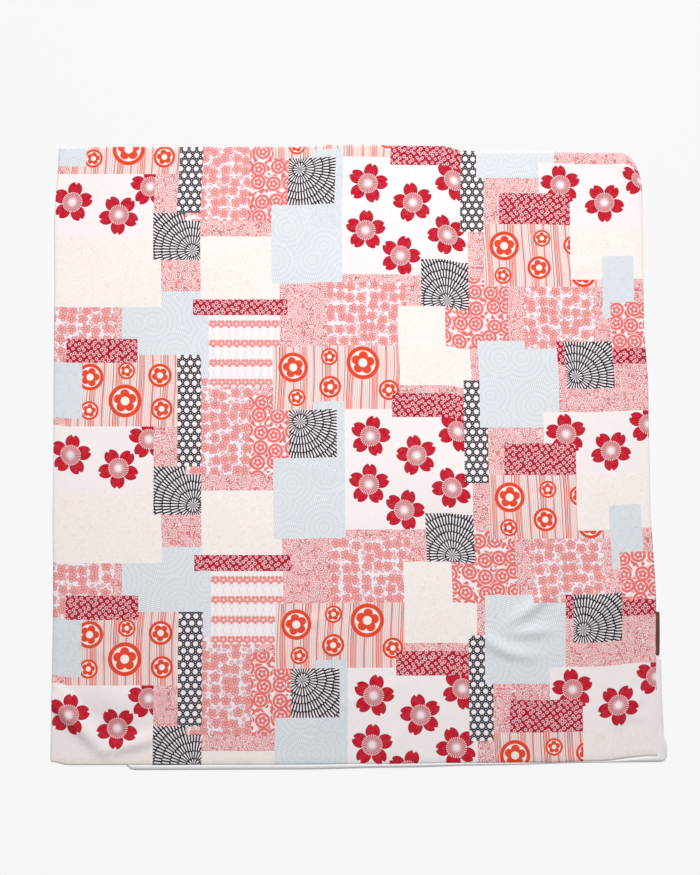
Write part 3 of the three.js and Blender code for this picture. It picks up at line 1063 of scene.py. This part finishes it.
# %% [markdown]
# The lining is plain pale grey cotton. At the bottom and at the lower right the seam has rolled, so a strip
# of lining shows past the printed edge, full and rounded like a piping, and swells a little at the corner.
# A pipe laid along the edge would show a joint, so the roll is raised in the sheet itself. The grid is even,
# with closer lines along the edges where the roll is.

# %% Lining panel
LINING_TOP_Z = 0.95
ROLL_HEIGHT, ROLL_RISE, ROLL_ROUND = 1.1, 1.2, 2.6
SHOWN_FOLD_SHARE = 0.6
LAID_FLAT_FROM = 2
LINING_EDGE_DROP, LINING_EDGE_TURN = 0.45, 1.6
LINING_PITCH, LINES_EACH_WAY = 4.0, 90
LINING_EDGE_LINES = [0.0, 0.5, 1.1, 1.9, 2.9, 4.1, 5.4, 6.8, 8.4]
LINING_CLEAR = 2

anchors = LINING_PITCH * np.arange(-LINES_EACH_WAY, LINES_EACH_WAY + 1)
across, up = (lines_between(-size / 2, size / 2, anchors, LINING_EDGE_LINES, LINING_CLEAR)
              for size in (WIDTH, LENGTH))
lining_flat = np.stack(np.meshgrid(across, up), -1)
lining_x, lining_y = on_outline(lining_flat[..., 0], lining_flat[..., 1], LINING_EDGES, LINING_CORNERS)
outside = np.maximum(lining_x - FACE_EDGES["right"](lining_y), FACE_EDGES["bottom"](lining_x) - lining_y)
from_edge = np.minimum(WIDTH / 2 - np.abs(lining_flat[..., 0]), LENGTH / 2 - np.abs(lining_flat[..., 1]))
roll = ROLL_HEIGHT * smooth(outside / ROLL_RISE) * np.sqrt(np.clip(from_edge / ROLL_ROUND, 0, 1))
settle = np.where(outside > 0, SHOWN_FOLD_SHARE, 1.0) * fold_height(lining_x, lining_y)
edge_ease = LINING_EDGE_DROP * (1 - smooth(from_edge / LINING_EDGE_TURN))
lifted = 1 - smooth((outside + LAID_FLAT_FROM) / LAID_FLAT_FROM)
lining_upper = np.stack([lining_x, lining_y, LINING_TOP_Z + settle + roll - edge_ease], -1)
lining_lower = np.stack([lining_x, lining_y, settle * lifted], -1)
lining_cloth, lining_faces, lining_flat_points, lining_side = closed_sheet(
    "lining_cloth", lining_upper, lining_lower, lining_flat)
add_map(lining_cloth, "Flat", (lining_flat_points[lining_faces] * MM).reshape(-1, 2))
lining_cloth.data.materials.append(plain_cotton("lining_cotton", ink(249, 247, 250), ink(241, 239, 243)))
print("lining_cloth:", len(lining_faces), "faces")

# %% [markdown]
# The side tag is a short length of dark brown tape, folded in half and caught in the right seam with its
# fold outwards. It is bare. It could be a plain box, but the fold has to be round and the tape has to look
# woven, so its section is drawn as two layers round a fold and run along the seam with a slight waver.

# %% Side tag
TAG_TOP, TAG_BOTTOM = -180.0, -229.0
TAG_SHOWS = 4.4
TAG_TONGUE = 3.0
TAG_THICK = 1.7
TAG_STEPS = 40
TAG_LIFT = 0.1
TONGUE_TOP = 0.95
WAVER_HEIGHT, WAVER_RUN = 0.12, 7.0
END_ROUNDING, END_SHARPNESS = 0.10, 14


def tag_section():
    """Points round the tape's section: distance out from the face's edge, and height."""
    radius = TAG_THICK / 2
    turn = np.linspace(-math.pi / 2, math.pi / 2, 9)
    fold = [(TAG_SHOWS - radius + radius * math.cos(a), radius + TAG_LIFT + radius * math.sin(a))
            for a in turn]
    lower_layer = [(-TAG_TONGUE, TAG_LIFT), (0.0, TAG_LIFT), (2.0, TAG_LIFT)]
    upper_layer = [(TAG_SHOWS * 0.45, TAG_THICK + 0.02), (0.3, 0.98), (-TAG_TONGUE, TONGUE_TOP)]
    return lower_layer + fold + upper_layer


def build_tag():
    section = np.array(tag_section())
    run = np.linspace(TAG_TOP, TAG_BOTTOM, TAG_STEPS)
    ease = 1 - END_ROUNDING * (np.abs(np.linspace(-1, 1, TAG_STEPS)) ** END_SHARPNESS)
    edge = FACE_EDGES["right"](run)
    waver = WAVER_HEIGHT * np.sin(run / WAVER_RUN)
    points = []
    for y, x0, e, w in zip(run, edge, ease, waver):
        out = np.where(section[:, 0] > 0.5, section[:, 0] * e + w, section[:, 0])
        high = TAG_LIFT + (section[:, 1] - TAG_LIFT) * e
        points += [(x0 + o, y, h) for o, h in zip(out, high)]
    n = len(section)
    faces = []
    for step in range(TAG_STEPS - 1):
        for k in range(n):
            a, b = step * n + k, step * n + (k + 1) % n
            faces.append((a, b, b + n, a + n))
    faces.append(tuple(range(n))[::-1])
    faces.append(tuple(range((TAG_STEPS - 1) * n, TAG_STEPS * n)))
    return make_piece("tag_tape", points, faces)


tag_tape = build_tag()
print("tag_tape:", len(tag_tape.data.polygons), "faces")

# %% [markdown]
# The tape is a close brown weave with ribs across it. It could have a map of its own, but a straight tape
# needs none: its material reads the piece's own coordinates, which works because the object stays at the
# origin, unturned.

# %% Brown tape
RIB_PITCH, TAPE_THREAD = 0.7, 0.9


def tag_material():
    s = Surface("tag_brown_tape")
    place = s.node("ShaderNodeTexCoord").outputs["Object"]
    parts = s.node("ShaderNodeSeparateXYZ", inputs=[place]).outputs
    x, y = Value(s, parts["X"]) / MM, Value(s, parts["Y"]) / MM
    ribs = (y * (math.tau / RIB_PITCH)).sin()
    threads = (x * (math.tau / TAPE_THREAD)).sin()
    wear = s.noise(x, y, 3.0, detail=3.0)
    colour = s.mix(ribs * 0.25 + 0.4 + (wear - 0.5), ink(82, 38, 33), ink(118, 60, 53))
    height = ribs * 0.08 + threads * 0.04 + wear * 0.08
    bump = s.node("ShaderNodeBump", inputs={"Strength": 0.6, "Distance": MM, "Height": height})
    s.feed(s.shader.inputs["Base Color"], colour)
    s.feed(s.shader.inputs["Roughness"], wear * 0.2 + 0.55)
    s.feed(s.shader.inputs["Normal"], bump.outputs["Normal"])
    return s.material


tag_tape.data.materials.append(tag_material())
print("the tape has ribs", RIB_PITCH, "mm apart")

# %% [markdown]
# The photograph is taken from almost straight above, tipped a few degrees so that the near edge looks
# wider. The lens is worked out from the distance and from how many pixels a millimetre of cloth takes, so
# either can be changed without the other going wrong.

# %% Camera
PICTURE = (700, 875)
SENSOR = 36.0
LOOK_AT = (-7.6, 17.45)
DISTANCE = 2000.0
TILT = math.radians(5.0)
PIXELS_PER_MM = 1 / 1.139

camera = bpy.data.objects.new("camera", bpy.data.cameras.new("camera"))
camera.data.sensor_fit = "HORIZONTAL"
camera.data.sensor_width = SENSOR
camera.data.lens = SENSOR * DISTANCE * PIXELS_PER_MM / PICTURE[0]
camera.location = (LOOK_AT[0] * MM, (LOOK_AT[1] - DISTANCE * math.sin(TILT)) * MM,
                   DISTANCE * math.cos(TILT) * MM)
camera.rotation_euler = (TILT, 0, 0)
bpy.context.scene.collection.objects.link(camera)
bpy.context.scene.camera = camera
print("lens", round(camera.data.lens, 1), "mm")

# %% [markdown]
# The table is a pale plain floor just under the cloth. Lit alone it would be grey or patchy, so it glows a
# little and reflects little, which keeps it an even near-white as in the photograph.

# %% Floor
FLOOR_HALF = 15
FLOOR_Z = -0.0006
FLOOR_GLOW = 0.875

floor_corners = [(x * FLOOR_HALF, y * FLOOR_HALF, FLOOR_Z) for x, y in ((-1, -1), (1, -1), (1, 1), (-1, 1))]
floor_mesh = bpy.data.meshes.new("floor")
floor_mesh.from_pydata(floor_corners, [], [(0, 1, 2, 3)])
floor = bpy.data.objects.new("floor", floor_mesh)
bpy.context.scene.collection.objects.link(floor)
floor_paint = Surface("floor_paint")
for socket, setting in (("Base Color", ink(60, 60, 60)), ("Roughness", 0.9),
                        ("Emission Color", (1, 1, 1, 1)), ("Emission Strength", FLOOR_GLOW)):
    floor_paint.feed(floor_paint.shader.inputs[socket], setting)
floor_mesh.materials.append(floor_paint.material)
print("the floor lies", -FLOOR_Z / MM, "mm under the cloth")

# %% [markdown]
# The light is soft and comes from the top side of the cloth, so the cloth is brightest there and greyer
# towards the bottom, and each fold has a shaded side. It is low, because a lamp straight above would wash
# the folds out. A weak lamp overhead and a white room fill the shadows.

# %% Light
ROOM_STRENGTH = 0.31


def soft_light(name, place, size, power):
    lamp = bpy.data.lights.new(name, "AREA")
    lamp.shape = "DISK"
    lamp.size = size
    lamp.energy = power
    light = bpy.data.objects.new(name, lamp)
    light.location = place
    direction = -np.array(place)
    light.rotation_euler = (math.atan2(math.hypot(direction[0], direction[1]), -direction[2]), 0,
                            math.atan2(direction[1], direction[0]) - math.pi / 2)
    light.visible_camera = False
    bpy.context.scene.collection.objects.link(light)


soft_light("window", place=(0.25, 2.5, 1.85), size=1.1, power=82)
soft_light("lamp", place=(0.0, 0.12, 0.70), size=0.3, power=1.1)
world = bpy.data.worlds.new("room")
world.use_nodes = True
background = world.node_tree.nodes["Background"]
background.inputs["Color"].default_value = (1, 1, 1, 1)
background.inputs["Strength"].default_value = ROOM_STRENGTH
bpy.context.scene.world = world
bpy.context.scene.view_settings.view_transform = "Standard"
print("lights:", [o.name for o in bpy.context.scene.objects if o.type == "LIGHT"])

# %% [markdown]
# Last, each piece is tied to the frame: it rides on the cloth's one body and stands for its solid.

# %% Tie the pieces to the frame
for piece, node, slot in ((face_cloth, "face", "printed_cotton"),
                          (lining_cloth, "lining", "plain_cotton"),
                          (tag_tape, "side_tag", "tag_tape")):
    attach(piece, "root")
    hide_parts(node)
